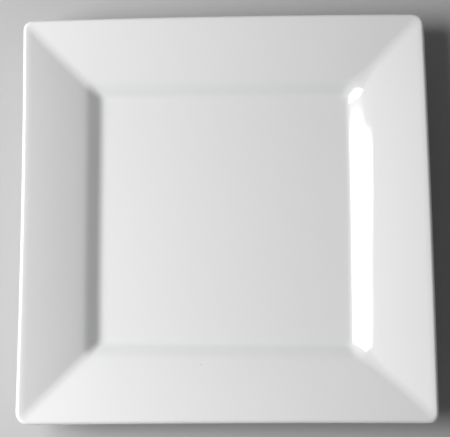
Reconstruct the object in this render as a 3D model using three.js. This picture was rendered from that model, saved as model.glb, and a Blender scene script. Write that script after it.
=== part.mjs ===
// A square serving platter in glazed porcelain: a flat square well, a short steep wall, a wide rim
// whose four sides meet in soft mitres, a rounded lip and a square foot ring underneath.
// Lengths are in millimetres and +Z is up. The origin is the centre of the face that it stands on.

import * as THREE from 'three';
import { mergeVertices } from 'three/addons/utils/BufferGeometryUtils.js';

// Overall sizes
const platterWidth = 305;
const glazeThickness = 0.3;

// Well and wall
const wellWidth = 190;
const floorThickness = 5.3;
const coveRadius = 9.5; // between the floor and the wall
const wallRun = 9.8; // how far the wall reaches outwards
const wallSlope = 34.5; // degrees
const shoulderRadius = 22; // between the wall and the rim

// Rim and lip. The rim rises less and less steeply towards the lip, and its height follows from that.
const innerRimRun = 7;
const innerRimSlope = 21; // degrees
const innerRimRadius = 150;
const crownShare = 0.5; // of the way from the inner rim to the lip's roll
const crownSlope = 18.8; // degrees, inside the crown
const crownRadius = 450;
const outerRimSlope = 15.8; // degrees, outside the crown
const lipRollRun = 4.5;
const lipRollSlope = 8; // degrees
const lipRollRadius = 26;
const lipThickness = 4.8; // upright, at the outer edge, before rounding
const lipUpperRadius = 2.3;
const lipLowerRadius = 1.6;

// Underside of the rim
const crownThickness = 5; // upright
const undersideCrownRadius = 150;
const shoulderThickness = 5.2; // upright, between the two shoulders
const undersideShoulderShift = 2.6; // how far the lower shoulder lies outside the upper one
const undersideShoulderRadius = 30;

// Foot ring, and the base that it lifts clear of the table
const footInset = 0.8; // from the foot's outer edge to the well's edge above it
const footHeight = 3.2;
const footOuterLean = 20; // degrees from upright
const footInnerLean = 35; // degrees from upright
const standingFaceWidth = 4.6;
const footEdgeRadius = 0.8;
const footOuterFillet = 4;
const footInnerFillet = 2;
const baseRecess = 2.4;
const glazeLineHeight = 1; // the foot is wiped clean of glaze below this

// Radii of the square's own corners, seen from above
const wellCornerRadius = 4.5;
const shoulderCornerRadius = 7.5;
const innerRimCornerRadius = 5.5;
const crownCornerRadius = 5.4;
const lipRollCornerRadius = 5.6;
const lipCornerRadius = 7.6;
const footCornerRadius = 6;
const footInnerCornerRadius = 3.5;

// Fineness of the facets
const chordTolerance = 0.02; // the most that an arc of the section stands off its facets
const cornerSteps = 6; // facets round each corner, an even number

const tangent = (degrees) => Math.tan(THREE.MathUtils.degToRad(degrees));

// A corner of the section, before it is rounded off. across is its distance from the middle of the
// platter, up is its height, fillet is the radius that rounds it and plan is the radius of the
// square's corner there.
function corner(across, up, fillet, plan) {
  return { at: new THREE.Vector2(across, up), fillet, plan, glazeLine: false };
}

// The corner reached from another by going outwards up a slope in degrees.
function uphill(from, run, slope, fillet, plan) {
  return corner(from.at.x + run, from.at.y + run * tangent(slope), fillet, plan);
}

// A point on the straight stretch between two corners, at the given height.
function cornerBetween(first, second, up) {
  const share = (up - first.at.y) / (second.at.y - first.at.y);
  const at = first.at.clone().lerp(second.at, share);
  return { at, fillet: 0, plan: THREE.MathUtils.lerp(first.plan, second.plan, share), glazeLine: false };
}

// The clay's section, from the middle of the well out over the rim and back under to the middle of
// the base.
function claySection() {
  const edge = platterWidth / 2 - glazeThickness;
  const wellEdge = wellWidth / 2;
  const floorHeight = baseRecess + floorThickness;

  const wellMiddle = corner(0, floorHeight, 0, 0);
  const cove = corner(wellEdge, floorHeight, coveRadius, wellCornerRadius);
  const shoulder = uphill(cove, wallRun, wallSlope, shoulderRadius, shoulderCornerRadius);
  const innerRim = uphill(shoulder, innerRimRun, innerRimSlope, innerRimRadius, innerRimCornerRadius);
  const rimRun = edge - lipRollRun - innerRim.at.x;
  const crown = uphill(innerRim, rimRun * crownShare, crownSlope, crownRadius, crownCornerRadius);
  const outerRimRun = rimRun * (1 - crownShare);
  const lipRoll = uphill(crown, outerRimRun, outerRimSlope, lipRollRadius, lipRollCornerRadius);
  const lipTop = uphill(lipRoll, lipRollRun, lipRollSlope, lipUpperRadius, lipCornerRadius);
  const lipUnder = corner(edge, lipTop.at.y - lipThickness, lipLowerRadius, lipCornerRadius);
  const underCrown = corner(
    crown.at.x,
    crown.at.y - crownThickness,
    undersideCrownRadius,
    crownCornerRadius,
  );
  const underShoulder = corner(
    shoulder.at.x + undersideShoulderShift,
    shoulder.at.y - shoulderThickness,
    undersideShoulderRadius,
    crownCornerRadius,
  );

  const footEdge = wellEdge - footInset;
  const footRoot = corner(
    footEdge + footHeight * tangent(footOuterLean),
    footHeight,
    footOuterFillet,
    footCornerRadius,
  );
  const footOuter = corner(footEdge, 0, footEdgeRadius, footCornerRadius);
  const footInner = corner(footEdge - standingFaceWidth, 0, footEdgeRadius, footInnerCornerRadius);
  const baseEdge = corner(
    footInner.at.x - baseRecess * tangent(footInnerLean),
    baseRecess,
    footInnerFillet,
    footInnerCornerRadius,
  );
  const baseMiddle = corner(0, baseRecess, 0, 0);

  const glazeFull = glazeLineHeight + glazeThickness;
  const outerFull = cornerBetween(footRoot, footOuter, glazeFull);
  const outerLine = cornerBetween(footRoot, footOuter, glazeLineHeight);
  const innerLine = cornerBetween(footInner, baseEdge, glazeLineHeight);
  const innerFull = cornerBetween(footInner, baseEdge, glazeFull);
  outerLine.glazeLine = true;
  innerLine.glazeLine = true;

  return [
    wellMiddle,
    cove,
    shoulder,
    innerRim,
    crown,
    lipRoll,
    lipTop,
    lipUnder,
    underCrown,
    underShoulder,
    footRoot,
    outerFull,
    outerLine,
    footOuter,
    footInner,
    innerLine,
    innerFull,
    baseEdge,
    baseMiddle,
  ];
}

// Rounds off a section's corners with arcs that touch the straight stretches on both sides. An arc
// too large for its stretches is reduced until it fits. Each point that comes back has the normal
// that points out of the clay.
function roundedSection(corners) {
  const legs = corners.slice(1).map((next, index) => next.at.clone().sub(corners[index].at));
  const turns = corners.map((here, index) => {
    const before = legs[index - 1];
    const after = legs[index];
    return before && after ? Math.atan2(before.cross(after), before.dot(after)) : 0;
  });
  const wanted = corners.map((here, index) => here.fillet * Math.tan(Math.abs(turns[index]) / 2));
  const room = legs.map((leg, index) => Math.min(1, leg.length() / (wanted[index] + wanted[index + 1])));

  return corners.flatMap((here, index) => {
    const leg = (legs[index - 1] ?? legs[index]).clone().normalize();
    const left = new THREE.Vector2(-leg.y, leg.x);
    if (here.fillet === 0) {
      return [{ at: here.at, normal: left, plan: here.plan, glazeLine: here.glazeLine }];
    }

    const turn = turns[index];
    const reach = wanted[index] * Math.min(room[index - 1], room[index]);
    const radius = reach / Math.tan(Math.abs(turn) / 2);
    const start = here.at.clone().addScaledVector(leg, -reach);
    const centre = start.addScaledVector(left, Math.sign(turn) * radius);
    const before = corners[index - 1];
    const after = corners[index + 1];
    const planFirst = THREE.MathUtils.lerp(here.plan, before.plan, reach / legs[index - 1].length());
    const planLast = THREE.MathUtils.lerp(here.plan, after.plan, reach / legs[index].length());
    const steps = Math.ceil(Math.abs(turn) / (2 * Math.acos(1 - chordTolerance / radius)));

    return Array.from({ length: steps + 1 }, (_, step) => {
      const normal = left.clone().rotateAround(new THREE.Vector2(), (turn * step) / steps);
      const at = centre.clone().addScaledVector(normal, -Math.sign(turn) * radius);
      const plan = THREE.MathUtils.lerp(planFirst, planLast, step / steps);
      return { at, normal, plan, glazeLine: false };
    });
  });
}

// A level line round the platter: a square with rounded corners. The corners' own centres stay
// where they are when a point of the section is lifted off the clay, so a coat keeps its thickness.
function squareRing(point) {
  const across = point.at.x;
  const centre = across - point.plan;
  const quarter = Array.from({ length: cornerSteps + 1 }, (_, step) => {
    const angle = (Math.PI / 2) * (step / cornerSteps);
    return [centre + point.plan * Math.cos(angle), centre + point.plan * Math.sin(angle)];
  });
  const turned = [([x, y]) => [x, y], ([x, y]) => [-y, x], ([x, y]) => [-x, -y], ([x, y]) => [y, -x]];
  return turned.flatMap((turn) => quarter.map((place) => new THREE.Vector3(...turn(place), point.at.y)));
}

// The triangles between each ring of a section and the next. The facets of a corner mirror each
// other about its mitre. A ring in the middle of the platter is one point.
function skin(section) {
  const rings = section.map(squareRing);
  const isMiddle = section.map((point) => point.at.x === 0);
  const triangles = [];
  rings.slice(1).forEach((outer, index) => {
    const inner = rings[index];
    inner.forEach((here, place) => {
      const next = (place + 1) % inner.length;
      const pastMitre = place % (cornerSteps + 1) >= cornerSteps / 2;
      if (isMiddle[index]) {
        triangles.push([here, outer[place], outer[next]]);
      } else if (isMiddle[index + 1]) {
        triangles.push([here, outer[place], inner[next]]);
      } else if (pastMitre) {
        triangles.push([here, outer[place], inner[next]], [outer[place], outer[next], inner[next]]);
      } else {
        triangles.push([here, outer[place], outer[next]], [here, outer[next], inner[next]]);
      }
    });
  });
  return triangles;
}

function solid(name, triangles, material) {
  const geometry = mergeVertices(new THREE.BufferGeometry().setFromPoints(triangles.flat()));
  geometry.computeVertexNormals();
  const mesh = new THREE.Mesh(geometry, material);
  mesh.name = name;
  return mesh;
}

// A coat of glaze over a stretch of the clay's section. It thins to nothing at the line where it
// was wiped away, and its inner side is the clay's own surface.
function glazeCoat(name, clay, material) {
  const outside = clay.map((point) => {
    const thickness = point.glazeLine ? 0 : glazeThickness;
    const at = point.at.clone().addScaledVector(point.normal, thickness);
    return { ...point, at, plan: point.plan + point.normal.x * thickness };
  });
  const inside = skin(clay).map((triangle) => triangle.toReversed());
  return solid(name, [...skin(outside), ...inside], material);
}

const clay = new THREE.MeshStandardMaterial({ color: '#e7e3db', roughness: 0.8, metalness: 0 });
const faceGlass = new THREE.MeshStandardMaterial({ color: '#f3f4f3', roughness: 0.08, metalness: 0 });
const baseGlass = new THREE.MeshStandardMaterial({ color: '#f1f2f1', roughness: 0.12, metalness: 0 });

const section = roundedSection(claySection());
const outerLine = section.findIndex((point) => point.glazeLine);
const innerLine = section.findLastIndex((point) => point.glazeLine);

const platter = new THREE.Group();
platter.add(
  solid('porcelain_body', skin(section), clay),
  glazeCoat('face_glaze', section.slice(0, outerLine + 1), faceGlass),
  glazeCoat('base_glaze', section.slice(innerLine), baseGlass),
);

export default platter;
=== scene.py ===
"""A square white porcelain platter, glazed all over but for the standing face of its foot.

The platter is made in the order in which a pottery makes it: the clay body first, then the glaze
on its face and rim, then the glaze on the base inside the foot. Lengths are in metres.
"""

import math

import bpy
import numpy as np
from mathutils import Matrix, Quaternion, Vector


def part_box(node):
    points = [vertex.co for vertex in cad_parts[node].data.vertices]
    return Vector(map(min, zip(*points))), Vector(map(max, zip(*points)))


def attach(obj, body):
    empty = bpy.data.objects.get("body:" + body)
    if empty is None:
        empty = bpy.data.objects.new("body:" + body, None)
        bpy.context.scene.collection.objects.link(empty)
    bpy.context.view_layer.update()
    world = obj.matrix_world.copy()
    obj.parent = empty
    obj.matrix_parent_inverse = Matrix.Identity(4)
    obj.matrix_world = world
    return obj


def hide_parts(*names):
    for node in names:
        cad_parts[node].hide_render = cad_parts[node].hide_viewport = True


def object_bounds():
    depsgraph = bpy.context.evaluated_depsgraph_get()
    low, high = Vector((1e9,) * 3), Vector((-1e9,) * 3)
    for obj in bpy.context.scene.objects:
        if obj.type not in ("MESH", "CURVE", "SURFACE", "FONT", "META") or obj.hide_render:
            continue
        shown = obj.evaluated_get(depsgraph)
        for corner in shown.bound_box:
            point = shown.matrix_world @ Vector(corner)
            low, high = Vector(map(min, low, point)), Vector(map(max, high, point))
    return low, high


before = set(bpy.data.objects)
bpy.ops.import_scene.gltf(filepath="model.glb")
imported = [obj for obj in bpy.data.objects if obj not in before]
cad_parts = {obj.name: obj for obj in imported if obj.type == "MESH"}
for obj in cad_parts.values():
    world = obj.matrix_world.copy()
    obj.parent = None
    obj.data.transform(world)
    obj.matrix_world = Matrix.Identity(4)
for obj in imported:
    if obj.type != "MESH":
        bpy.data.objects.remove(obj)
cad_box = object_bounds()


# The clay body. One piece of pressed and fired porcelain: flat floor, steep wall, wide mitred rim,
# rounded lip and a square foot ring. Once glazed, only the foot's standing face shows as dry clay.

MM = 0.001
clay_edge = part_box("porcelain_body")[1].x
glaze_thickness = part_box("face_glaze")[1].x - clay_edge

# Slopes are in degrees. The lower shoulder lies a little outside the upper one.
floor_height = 7.7 * MM
well_edge = 95.0 * MM
wall_run = 9.8 * MM
wall_slope = 34.5
inner_rim_run = 7.0 * MM
inner_rim_slope = 21.0
crown_slope = 18.8
outer_rim_slope = 15.8
lip_roll_run = 4.5 * MM
lip_roll_slope = 8.0
lip_height = 4.8 * MM
crown_thickness = 5.0 * MM
shoulder_thickness = 5.2 * MM
lower_shoulder_shift = 2.6 * MM

# The foot leans by these degrees from upright.
foot_edge = well_edge - 0.8 * MM
foot_height = 3.2 * MM
foot_outer_lean = 20.0
foot_inner_lean = 35.0
standing_face_width = 4.6 * MM
base_recess = 2.4 * MM
glaze_line_height = 1.0 * MM


def climb(place, run, slope):
    """The place reached from another by going a run outwards up a slope in degrees."""
    return (place[0] + run, place[1] + run * math.tan(math.radians(slope)))


def lean(height, degrees):
    """How far something of a height reaches sideways when it leans from upright."""
    return height * math.tan(math.radians(degrees))


lip_roll_start = clay_edge - lip_roll_run
cove = (well_edge, floor_height)
shoulder = climb(cove, wall_run, wall_slope)
inner_rim = climb(shoulder, inner_rim_run, inner_rim_slope)
crown = climb(inner_rim, (lip_roll_start - inner_rim[0]) / 2, crown_slope)
lip_roll = climb(crown, lip_roll_start - crown[0], outer_rim_slope)
lip_top = climb(lip_roll, lip_roll_run, lip_roll_slope)
lip_under = (clay_edge, lip_top[1] - lip_height)
under_crown = (crown[0], crown[1] - crown_thickness)
under_shoulder = (shoulder[0] + lower_shoulder_shift, shoulder[1] - shoulder_thickness)
foot_root = (foot_edge + lean(foot_height, foot_outer_lean), foot_height)
foot_outer = (foot_edge, 0)
foot_inner = (foot_edge - standing_face_width, 0)
base_edge = (foot_inner[0] - lean(base_recess, foot_inner_lean), base_recess)

# The corners of the section before they are rounded off, from the middle of the well out over the
# lip and back to the middle of the base: the place, the radius that rounds it in the section, and
# how far from the square's own corner a level line begins to turn there.
clay_corners = [
    ((0, floor_height), 0, 0),
    (cove, 9.5 * MM, 5 * MM),
    (shoulder, 22 * MM, 8 * MM),
    (inner_rim, 150 * MM, 6.5 * MM),
    (crown, 450 * MM, 6.3 * MM),
    (lip_roll, 26 * MM, 6 * MM),
    (lip_top, 2.3 * MM, 8.4 * MM),
    (lip_under, 1.6 * MM, 8.4 * MM),
    (under_crown, 150 * MM, 6.3 * MM),
    (under_shoulder, 30 * MM, 6.3 * MM),
    (foot_root, 4 * MM, 7 * MM),
    (foot_outer, 0.8 * MM, 7 * MM),
    (foot_inner, 0.8 * MM, 4 * MM),
    (base_edge, 2 * MM, 4 * MM),
    ((0, base_recess), 0, 0),
]


def rounded_section(corners, step):
    """Points a small step apart along a section, as arrays of across, up and turning length. A
    corner's arc of radius R touches both stretches at R tan(turn / 2) from the corner, and its
    points are the arc's centre plus R times a normal that swings from one stretch's to the next's."""
    places = np.array([corner[0] for corner in corners], float)
    radii = np.array([corner[1] for corner in corners])
    lengths = np.array([corner[2] for corner in corners])
    legs = np.diff(places, axis=0)
    long = np.linalg.norm(legs, axis=1)
    headings = np.arctan2(legs[:, 1], legs[:, 0])
    turns = (np.diff(headings) + math.pi) % (2 * math.pi) - math.pi
    reaches = np.concatenate([[0], radii[1:-1] * np.tan(np.abs(turns) / 2), [0]])

    stretches = []
    for k in range(len(legs)):
        share = np.linspace(reaches[k], long[k] - reaches[k + 1], 2 + int(long[k] / step)) / long[k]
        turning = lengths[k] + (lengths[k + 1] - lengths[k]) * share
        stretches.append(np.column_stack([places[k] + legs[k] * share[:, None], turning]))
        if k < len(turns):
            bend = np.sign(turns[k]) * radii[k + 1]
            swing = headings[k] + turns[k] * np.linspace(0, 1, 2 + int(abs(bend * turns[k]) / step))
            normals = np.column_stack([-np.sin(swing), np.cos(swing)])
            arc = stretches[-1][-1, :2] + (normals[0] - normals) * bend
            next_share = reaches[k + 1] / long[k + 1]
            next_turning = lengths[k + 1] + (lengths[k + 2] - lengths[k + 1]) * next_share
            turning = np.linspace(turning[-1], next_turning, len(swing))
            stretches.append(np.column_stack([arc, turning])[1:-1])
    return np.vstack(stretches)


# The lip and the foot keep their tighter curves: not at all before the first of their two places,
# and wholly past the second.
tight_lip = (146 * MM, 149 * MM)
tight_foot = (6 * MM, 4 * MM)


def eased_section(points, step, ease):
    """The same section with its curvature made continuous, as pressing and glazing leave it: the
    points are spaced evenly and averaged with a bell-shaped weight of standard deviation ease. The
    lip, which is known by its distance across, and the foot, by its height, are left out."""
    along = np.concatenate([[0], np.cumsum(np.linalg.norm(np.diff(points[:, :2], axis=0), axis=1))])
    even = np.arange(0, along[-1], step)
    section = np.column_stack([np.interp(even, along, column) for column in points.T])
    offsets = np.arange(-3 * ease, 3 * ease + step / 2, step)
    weights = np.exp(-0.5 * (offsets / ease) ** 2)
    padded = np.pad(section, ((len(offsets) // 2, len(offsets) // 2), (0, 0)), "edge")
    columns = [np.convolve(column, weights / weights.sum(), "valid") for column in padded.T]
    averaged = np.column_stack(columns)[: len(section)]
    lip = np.clip((section[:, 0] - tight_lip[0]) / (tight_lip[1] - tight_lip[0]), 0, 1)
    foot = np.clip((section[:, 1] - tight_foot[0]) / (tight_foot[1] - tight_foot[0]), 0, 1)
    return averaged + (section - averaged) * np.maximum(lip, foot)[:, None]


def thinned(section, longest, sharpest):
    """Only as many points of a section as its curves need: one whenever the length since the last
    in units of longest, plus the turn since then in units of sharpest, comes to one."""
    heading = np.unwrap(np.arctan2(np.gradient(section[:, 1]), np.gradient(section[:, 0])))
    far = np.linalg.norm(np.diff(section[:, :2], axis=0), axis=1) / longest
    need = np.concatenate([[0], np.cumsum(far + np.abs(np.diff(heading)) / sharpest)])
    chosen = np.searchsorted(need, np.linspace(0, need[-1], 2 + int(need[-1])))
    return np.unique(np.clip(chosen, 0, len(section) - 1))


# No two corners are quite alike. Each begins to turn at these shares of the lengths above: at the
# cove, at the shoulder, at the inner and the outer end of the rim, and at the lip.
corner_places = [95 * MM, 106 * MM, 114 * MM, 146 * MM, 152 * MM]
corner_shares = {
    "back right": (1.55, 1.75, 1.0, 1.0, 1.15),
    "back left": (0.75, 0.95, 1.0, 1.0, 1.05),
    "front left": (0.75, 0.95, 1.0, 1.0, 1.4),
    "front right": (1.2, 1.6, 1.0, 1.0, 0.93),
}


def level_lines(across, turning, outwards, side_steps, corner_steps):
    """Level lines round the platter as arrays X and Y, one row for each line. A line is a square
    whose corners turn over a length that begins at a distance turning from the corner. The edge's
    heading swings there by an S-shaped share of a right angle, so that the curve comes in gently
    and is tightest on the mitre. Every point is then moved outwards along its own heading."""
    sums_per_step = 40
    swing = np.linspace(0, 1, sums_per_step * corner_steps + 1)
    heading = math.pi / 2 * (3 * swing**2 - 2 * swing**3)
    steps = np.column_stack([-np.sin(heading), np.cos(heading)])
    run = np.vstack([[0, 0], np.cumsum((steps[1:] + steps[:-1]) / 2, axis=0)])
    curve = (np.array([1.0, 0.0]) + run / run[-1, 1])[:-1:sums_per_step]
    heading = np.concatenate([np.zeros(side_steps), heading[:-1:sums_per_step]])

    slide = (1 + np.sin(np.linspace(-1, 1, side_steps, endpoint=False) * math.pi / 2)) / 2
    turnings = [turning * np.interp(across, corner_places, shares) for shares in corner_shares.values()]
    x, y = [], []
    for quarter, here in enumerate(turnings):
        before = turnings[quarter - 1]
        side = (before - across)[:, None] + np.outer(2 * across - before - here, slide)
        corner = (across - here)[:, None, None] + here[:, None, None] * curve
        out = np.hstack([np.repeat(across[:, None], side_steps, axis=1), corner[:, :, 0]])
        along = np.hstack([side, corner[:, :, 1]])
        out += np.outer(outwards, np.cos(heading))
        along += np.outer(outwards, np.sin(heading))
        for _ in range(quarter):
            out, along = -along, out
        x.append(out)
        y.append(along)
    return np.hstack(x), np.hstack(y)


def closed_skin(name, x, y, z):
    """A closed mesh over a grid whose rows are level lines, from one middle point to the other.
    The first and the last row are single points; every other row closes on itself."""
    rows, around = x.shape
    inner = np.stack([x[1:-1], y[1:-1], z[1:-1]], axis=-1).reshape(-1, 3)
    poles = [[x[0, 0], y[0, 0], z[0, 0]], [x[-1, 0], y[-1, 0], z[-1, 0]]]
    points = np.vstack([inner, poles])
    first = np.arange(around)
    after = (first + 1) % around
    start = np.arange(rows - 3)[:, None] * around
    quads = np.stack([start + first, start + around + first, start + around + after, start + after], -1)
    last = (rows - 3) * around
    top = np.stack([np.full(around, len(inner)), first, after], axis=1)
    bottom = np.stack([np.full(around, len(inner) + 1), last + after, last + first], axis=1)
    mesh = bpy.data.meshes.new(name)
    mesh.from_pydata(points.tolist(), [], quads.reshape(-1, 4).tolist() + top.tolist() + bottom.tolist())
    mesh.polygons.foreach_set("use_smooth", np.ones(len(mesh.polygons), bool))
    mesh.update()
    skin = bpy.data.objects.new(name, mesh)
    bpy.context.scene.collection.objects.link(skin)
    return skin


# How far each side leaves a straight line. Where the value is above zero the ends draw in, and
# below zero the middle does.
side_bows = {"left": -1.18 * MM, "right": 0.7 * MM, "back": 1.16 * MM, "front": -0.65 * MM}

# How far each corner of the well, and each corner of the lip, lies from its place in a true square:
# the well is a little turned in the rim, and its front right corner is drawn in. A corner is known
# by the signs of its x and y.
corner_shifts = {
    (-1, -1): ((0.0, 2.0 * MM), (0.2 * MM, 0.5 * MM)),
    (1, -1): ((-2.2 * MM, -1.9 * MM), (0.25 * MM, 0.0)),
    (1, 1): ((-0.2 * MM, -1.2 * MM), (-0.5 * MM, -0.1 * MM)),
    (-1, 1): ((0.0, 0.6 * MM), (0.0, 0.0)),
}

# The left and right sides of the well bulge a little, and all four mitres bow the same way round,
# anticlockwise, with a band of the rim on both sides of them.
well_bulges = {"left": 0.5 * MM, "right": 0.9 * MM}
mitre_bows = {(-1, -1): 0.7 * MM, (1, -1): 1.9 * MM, (1, 1): 1.1 * MM, (-1, 1): 1.0 * MM}
mitre_band = 30 * MM

# Shares of the way to the lip: where the rim begins, how far out the well's own shifts last, and how
# much of the way the rim's own waves take to rise past its beginning and to die away before the lip.
rim_start = 0.6
well_shifts_until = 0.7
rim_waves_rise = 0.1
rim_waves_fall = 0.12

# Shallow waves in the surface: a share of the depth, the lengths along x and y that it takes to go
# through one radian, and where it starts. The surface sinks by at least the first of the depths.
waves = [
    (0.5, 11.5 * MM, 31.0 * MM, 1.3),
    (0.8, -24.0 * MM, 9.2 * MM, 0.4),
    (0.6, 18.0 * MM, 6.1 * MM, 2.1),
    (0.5, 7.4 * MM, -13.5 * MM, 5.2),
]
least_sink = 0.03 * MM
well_waves_depth = 0.012 * MM
rim_waves_depth = 0.07 * MM


def warp(x, y, z):
    """What drying and firing do to a slab. Each side bows by a parabola along it, which fades
    towards the well. The shifts of the corners are shared out in proportion to the distances across
    the platter, those of the well up to its wall and those of the lip from there on. The sides of
    the well bulge by a parabola, and a mitre bows sideways by a sine along it times a bell shape
    across it. The surface sinks by hundredths of a millimetre over a few centimetres, a sum of
    sines, more of it on the rim than in the well. It only sinks, so the platter keeps its size."""
    across = x / cad_box[1].x
    along = y / cad_box[1].y
    out = np.maximum(np.abs(across), np.abs(along))
    fade = np.clip((1 - out) / (1 - well_shifts_until), 0, 1)
    fade = fade**2 * (3 - 2 * fade)
    bulge = np.where(x > 0, well_bulges["right"], -well_bulges["left"])
    shift_x = bulge * np.clip(1 - (y / well_edge) ** 2, 0, 1) * np.abs(across) * fade
    shift_y = 0
    for (right, back), (well_shift, lip_shift) in corner_shifts.items():
        for half, part, shift in ((well_edge, fade, well_shift), (cad_box[1].x, 1 - fade, lip_shift)):
            right_share = (1 + right * np.clip(x / half, -1, 1)) / 2
            back_share = (1 + back * np.clip(y / half, -1, 1)) / 2
            shift_x = shift_x + shift[0] * right_share * back_share * part
            shift_y = shift_y + shift[1] * right_share * back_share * part
    middle_of_rim = np.sin(math.pi * np.clip((out - rim_start) / (1 - rim_start), 0, 1))
    for (right, back), mitre_bow in mitre_bows.items():
        beside = np.exp(-(((x * back - y * right) / mitre_band) ** 2))
        near = beside * (x * right > 0) * (y * back > 0)
        bowed = mitre_bow * middle_of_rim * near / math.sqrt(2)
        shift_x = shift_x - back * bowed
        shift_y = shift_y + right * bowed

    def bow(side, share):
        amount = side_bows[side]
        return np.where(amount > 0, amount * share**2, -amount * (1 - share**2))

    draw_x = np.where(x > 0, bow("right", along), bow("left", along))
    draw_y = np.where(y > 0, bow("back", across), bow("front", across))
    height = sum(share * np.sin(x / long + y / wide + start) for share, long, wide, start in waves)
    height = height / sum(share for share, _, _, _ in waves)
    rise = np.clip((out - rim_start) / rim_waves_rise, 0, 1)
    fall = np.clip((1 - out) / rim_waves_fall, 0, 1)
    depth = well_waves_depth + rim_waves_depth * rise * fall
    sink = np.where(z > glaze_line_height, least_sink + depth * (1 - height) / 2, 0)
    warped_x = x + shift_x - draw_x * across * np.abs(across)
    warped_y = y + shift_y - draw_y * along * np.abs(along)
    return warped_x, warped_y, z - sink


class Socket:
    """A shader socket that plain arithmetic works on. Each operation adds its Math node."""

    def __init__(self, tree, socket):
        self.tree = tree
        self.socket = socket

    def math(self, operation, first, second=0.0):
        made = node(self.tree, "ShaderNodeMath", {"operation": operation}, {0: first, 1: second})
        return Socket(self.tree, made.outputs[0])

    def __add__(self, other):
        return self.math("ADD", self, other)

    __radd__ = __add__

    def __sub__(self, other):
        return self.math("SUBTRACT", self, other)

    def __rsub__(self, other):
        return self.math("SUBTRACT", other, self)

    def __mul__(self, other):
        return self.math("MULTIPLY", self, other)

    __rmul__ = __mul__

    def above(self, level):
        return self.math("GREATER_THAN", self, level)

    def larger(self, other):
        return self.math("MAXIMUM", self, other)

    def size(self):
        return self.math("ABSOLUTE", self)

    def ramp(self, start, end, at_start=0.0, at_end=1.0):
        """at_start up to start, at_end past end and an S-shaped change between them. The end may lie
        below the start."""
        values = {"Value": self, "From Min": start, "From Max": end, "To Min": at_start, "To Max": at_end}
        made = node(self.tree, "ShaderNodeMapRange", {"interpolation_type": "SMOOTHSTEP"}, values)
        return Socket(self.tree, made.outputs["Result"])


def node(tree, kind, settings=None, sockets=None):
    """Adds a node: its settings first, then the value or the link of each socket."""
    made = tree.nodes.new(kind)
    for key, value in (settings or {}).items():
        setattr(made, key, value)
    for key, value in (sockets or {}).items():
        if isinstance(value, Socket):
            value = value.socket
        if isinstance(value, bpy.types.NodeSocket):
            tree.links.new(value, made.inputs[key])
        else:
            made.inputs[key].default_value = value
    return made


def new_material(name):
    """An empty material and its node tree."""
    material = bpy.data.materials.new(name)
    material.use_nodes = True
    material.node_tree.nodes.clear()
    return material, material.node_tree


def finish_material(tree, sockets):
    """Adds the surface's shader with its sockets, and the output."""
    shader = node(tree, "ShaderNodeBsdfPrincipled", None, sockets)
    node(tree, "ShaderNodeOutputMaterial", None, {"Surface": shader.outputs["BSDF"]})


def place_of(tree):
    """The place on the platter, in metres."""
    return node(tree, "ShaderNodeTexCoord").outputs["Object"]


def coordinates(tree, place):
    """The three coordinates of a place or a direction."""
    split = node(tree, "ShaderNodeSeparateXYZ", None, {0: place})
    return [Socket(tree, output) for output in split.outputs]


def distance_from(tree, place, other):
    """How far a place lies from a fixed one."""
    between = node(tree, "ShaderNodeVectorMath", {"operation": "DISTANCE"}, {0: place, 1: other})
    return Socket(tree, between.outputs["Value"])


def noise(tree, place, scale, detail, roughness):
    """Soft random clouds between 0 and 1. The scale is in clouds to a metre."""
    sockets = {"Vector": place, "Scale": scale, "Detail": detail, "Roughness": roughness}
    return Socket(tree, node(tree, "ShaderNodeTexNoise", None, sockets).outputs["Fac"])


def mixed(tree, factor, first, second):
    """The first colour where the factor is 0 and the second where it is 1."""
    made = node(tree, "ShaderNodeMix", {"data_type": "RGBA"}, {"Factor": factor, 6: first, 7: second})
    return made.outputs[2]


def bumped(tree, height, strength, depth):
    """The surface's normal, tilted by a height between 0 and 1 that stands for a depth."""
    sockets = {"Strength": strength, "Distance": depth, "Height": height}
    return node(tree, "ShaderNodeBump", None, sockets).outputs["Normal"]


grey_clay = (0.70, 0.665, 0.60, 1)
cream_clay = (0.76, 0.735, 0.685, 1)
scuffed_clay = (0.40, 0.385, 0.36, 1)
scuffs_below = 0.3 * MM


def dry_clay():
    """Fired, unglazed porcelain: off-white, dead matt, with a fine grain, and a few grey scuffs
    where the foot has slid over tables and other platters."""
    material, tree = new_material("dry_clay")
    place = place_of(tree)
    grain = noise(tree, place, 2600, 3, 0.6)
    cloud = noise(tree, place, 70, 3, 0.55)
    scuff = noise(tree, place, 190, 7, 0.78)
    _, _, height = coordinates(tree, place)
    worn = scuff.ramp(0.5, 0.68) * height.ramp(scuffs_below, 0.0) * 0.4
    pale = mixed(tree, cloud.ramp(0.35, 0.65), grey_clay, cream_clay)
    sockets = {
        "Base Color": mixed(tree, worn, pale, scuffed_clay),
        "Roughness": (grain - 0.5) * 0.12 + (0.86 - worn * 0.2),
        "Normal": bumped(tree, grain + 0.6 * scuff, 0.35, 0.12 * MM),
    }
    finish_material(tree, sockets)
    return material


# The section is worked out at closely spaced points, and its curves are eased over a short length.
point_spacing = 0.1 * MM
ease_length = 0.8 * MM
section = eased_section(rounded_section(clay_corners, point_spacing), point_spacing, ease_length)
section[[0, -1], 0] = 0

clay_rows = section[thinned(section, longest=4 * MM, sharpest=math.radians(6))]
clay_across, clay_up, clay_turning = clay_rows.T
clay_x, clay_y = level_lines(clay_across, clay_turning, 0 * clay_across, side_steps=30, corner_steps=14)
clay_z = np.broadcast_to(clay_up[:, None], clay_x.shape)
clay = closed_skin("clay_body", *warp(clay_x, clay_y, clay_z))
clay.data.materials.append(dry_clay())
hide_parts("porcelain_body")
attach(clay, "root")


# The glaze on the face. A coat of clear glass 0.3 mm thick, melted over the well, the wall, the rim,
# the lip and the rim's underside. It ends in a slightly swollen roll where the foot was wiped clean.

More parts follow.
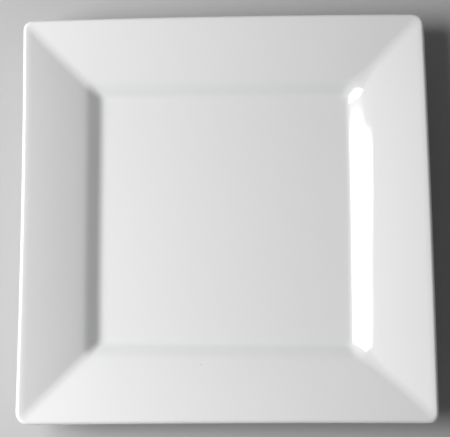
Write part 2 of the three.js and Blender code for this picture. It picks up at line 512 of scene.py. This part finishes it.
# The roll swells by this share of the glaze's thickness and rounds off over this share of its width.
roll_swelling = 0.25
roll_rounding_share = 0.4


def glaze_coat(name, stretch, roll_width):
    """A closed coat over a stretch of the clay's section that ends at the glaze line. Outside it
    stands off the clay by the glaze's thickness along the normal, and over the last stretch before
    the line, roll_width long, it swells by half a sine and then rounds down to the clay by a quarter
    of a circle."""
    tangents = np.column_stack([np.gradient(stretch[:, 0]), np.gradient(stretch[:, 1])])
    tangents /= np.linalg.norm(tangents, axis=1)[:, None]
    steps = np.linalg.norm(np.diff(stretch[:, :2], axis=0), axis=1)
    to_line = np.concatenate([np.cumsum(steps[::-1])[::-1], [0]])
    line_first = stretch[0, 0] > stretch[-1, 0]
    if line_first:
        to_line = to_line[0] - to_line
    share = np.clip(to_line / roll_width, 0, 1)
    rounding = np.sqrt(1 - (1 - np.clip(share / roll_rounding_share, 0, 1)) ** 2)
    lift = glaze_thickness * rounding * (1 + roll_swelling * np.sin(math.pi * share))

    outside = thinned(stretch, longest=2.4 * MM, sharpest=math.radians(2.5))
    inside = thinned(stretch, longest=6 * MM, sharpest=math.radians(8))[::-1]
    if line_first:
        chosen = np.concatenate([inside[:-1], outside])
        lifts = np.concatenate([0 * lift[inside[:-1]], lift[outside]])
    else:
        chosen = np.concatenate([outside, inside[1:]])
        lifts = np.concatenate([lift[outside], 0 * lift[inside[1:]]])
    across, up, turning = stretch[chosen].T
    outwards, upwards = -tangents[chosen, 1] * lifts, tangents[chosen, 0] * lifts
    x, y = level_lines(across, turning, outwards, side_steps=56, corner_steps=20)
    z = np.broadcast_to((up + upwards)[:, None], x.shape)
    return closed_skin(name, *warp(x, y, z))


def rare_spots(tree, place, scale, edge, middle, rarity):
    """Small round spots, one in the middle of a few of the cells of a random pattern: 1 within
    middle, 0 outside edge, in cells. A cell has a spot if its own random number is above rarity."""
    cells = node(tree, "ShaderNodeTexVoronoi", {"feature": "F1"}, {"Vector": place, "Scale": scale})
    numbers = node(tree, "ShaderNodeSeparateColor", None, {0: cells.outputs["Color"]})
    spot = Socket(tree, cells.outputs["Distance"]).ramp(edge, middle)
    return spot * Socket(tree, numbers.outputs[0]).above(rarity)


# The glaze pools between these distances from the middle, at the foot of the wall, and takes these
# shares of its tint there. One iron speck shows plainly, on the front rim.
pool_begins = (92.5 * MM, 97.5 * MM)
pool_ends = (98.5 * MM, 103.5 * MM)
pool_shares = (0.965, 0.98, 0.985, 1)
iron_brown = (0.30, 0.27, 0.23, 1)
iron_speck = (-18.2 * MM, -109.4 * MM, 16.7 * MM)


def glaze(name, tint, unevenness):
    """Clear gloss glaze over white clay. It is a hair bluer and darker where it pools at the foot of
    the wall, and it has the faint orange-peel surface, the few pinholes and the rare iron specks
    that fired glaze has. Where it was handled, its gloss varies slightly."""
    material, tree = new_material(name)
    place = place_of(tree)
    x, y, _ = coordinates(tree, place)
    across = x.size().larger(y.size())
    pool = across.ramp(*pool_begins) * across.ramp(*pool_ends[::-1])
    cloud = noise(tree, place, 14, 2, 0.5)
    pool_tint = tuple(part * share for part, share in zip(tint, pool_shares))
    pooled = mixed(tree, pool * 0.5 + cloud * 0.12, tint, pool_tint)

    faint_specks = rare_spots(tree, place, 38, 0.014, 0.006, 0.93) * 0.45
    plain_speck = distance_from(tree, place, iron_speck).ramp(0.55 * MM, 0.25 * MM) * 0.75
    pinholes = rare_spots(tree, place, 120, 0.035, 0.01, 0.985)
    peel = noise(tree, place, 260, 2, 0.45)
    swell = noise(tree, place, 55, 1, 0.4)
    smudge = noise(tree, place, 9, 4, 0.6).ramp(0.45, 0.75)
    sockets = {
        "Base Color": mixed(tree, faint_specks.larger(plain_speck), pooled, iron_brown),
        "Roughness": 0.05 + smudge * 0.035 + peel * 0.015,
        "IOR": 1.5,
        "Normal": bumped(tree, peel * 0.25 + swell * 1.2 - pinholes * 0.6, unevenness, 0.02 * MM),
    }
    finish_material(tree, sockets)
    return material


bare = np.flatnonzero(section[:, 1] < glaze_line_height)
face = glaze_coat("face_glaze_coat", section[: bare[0]], roll_width=2.2 * MM)
face.data.materials.append(glaze("face_glaze", (0.80, 0.803, 0.80, 1), unevenness=0.5))
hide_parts("face_glaze")
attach(face, "root")


# The glaze on the base. The same glaze on the recessed base inside the foot ring, brushed or poured
# on after the platter was turned over, so it lies a little less evenly.

base = glaze_coat("base_glaze_coat", section[bare[-1] + 1 :], roll_width=1.6 * MM)
base.data.materials.append(glaze("base_glaze", (0.78, 0.782, 0.775, 1), unevenness=1.0))
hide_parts("base_glaze")
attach(base, "root")


# The studio. A plain pale table, a large soft box up on the left, and a pale room all round that is
# brighter low down. Further out the table has painted light: it glows a little by its own emission,
# as under background lights of its own, so that it stays pale where the soft box no longer reaches.

table_reach = 8.0
table_grey = (0.48, 0.48, 0.48, 1)
black = (0, 0, 0, 1)
# Painted light: the table's emission grey, reached away from the platter, which lights nothing else.
painted_glow_grey = (0.25, 0.25, 0.25, 1)
painted_glow_starts = 0.25
painted_glow_is_full = 1.25

corners = [(x * table_reach, y * table_reach, 0) for x, y in ((-1, -1), (1, -1), (1, 1), (-1, 1))]
table_mesh = bpy.data.meshes.new("table")
table_mesh.from_pydata(corners, [], [(0, 1, 2, 3)])
table = bpy.data.objects.new("table", table_mesh)
bpy.context.scene.collection.objects.link(table)
table_material, table_tree = new_material("table")
from_platter = distance_from(table_tree, place_of(table_tree), (0, 0, 0))
table_sockets = {
    "Base Color": table_grey,
    "Roughness": 0.7,
    # Painted light: emission that brightens the table further from the platter.
    "Emission Color": mixed(table_tree, from_platter.ramp(painted_glow_starts, painted_glow_is_full), black, painted_glow_grey),
    "Emission Strength": 1.0,
}
finish_material(table_tree, table_sockets)
table_mesh.materials.append(table_material)

# The soft box's length and height, its power in watts, where its middle is, what it faces, and its
# roll in degrees about the line between the two.
soft_box_size = (0.789, 0.741)
soft_box_power = 17.0
soft_box_place = Vector((-0.814, -0.053, 0.696))
soft_box_aim = Vector((0.067, -0.399, 0.097))
soft_box_roll = 10.3

light = bpy.data.lights.new("window_side", "AREA")
light.shape = "RECTANGLE"
light.size, light.size_y = soft_box_size
light.energy = soft_box_power
soft_box = bpy.data.objects.new("window_side", light)
soft_box.location = soft_box_place
facing = (soft_box_aim - soft_box_place).to_track_quat("-Z", "Y")
roll = Quaternion((0, 0, 1), math.radians(soft_box_roll))
soft_box.rotation_euler = (facing @ roll).to_euler()
soft_box.visible_camera = False
bpy.context.scene.collection.objects.link(soft_box)

# The room's brightness overhead and low down, and how far upwards a direction points where the one
# begins to give way to the other and where it has done so.
overhead_brightness = 0.10
low_brightness = 0.35
overhead_until = 0.45
low_from = 0.05

world = bpy.data.worlds.new("room")
world.use_nodes = True
room = world.node_tree
room.nodes.clear()
_, _, upwards = coordinates(room, node(room, "ShaderNodeTexCoord").outputs["Generated"])
brightness = upwards.ramp(overhead_until, low_from, overhead_brightness, low_brightness)
walls = node(room, "ShaderNodeBackground", None, {"Color": (1, 1, 1, 1), "Strength": brightness})
node(room, "ShaderNodeOutputWorld", None, {"Surface": walls.outputs["Background"]})
bpy.context.scene.world = world
bpy.context.scene.view_settings.view_transform = "Standard"

# The camera looks almost straight down. Its focal length is known in pixels of the photograph, and
# its turns are in degrees.
photo_width = 450
focal_length = 1086.0
camera_place = (0.02531, -0.1249, 0.81816)
camera_turns = (8.745, 1.873, -0.416)

camera_data = bpy.data.cameras.new("camera")
camera_data.lens = focal_length / photo_width * camera_data.sensor_width
camera = bpy.data.objects.new("camera", camera_data)
camera.location = camera_place
camera.rotation_euler = [math.radians(turn) for turn in camera_turns]
bpy.context.scene.collection.objects.link(camera)
bpy.context.scene.camera = camera
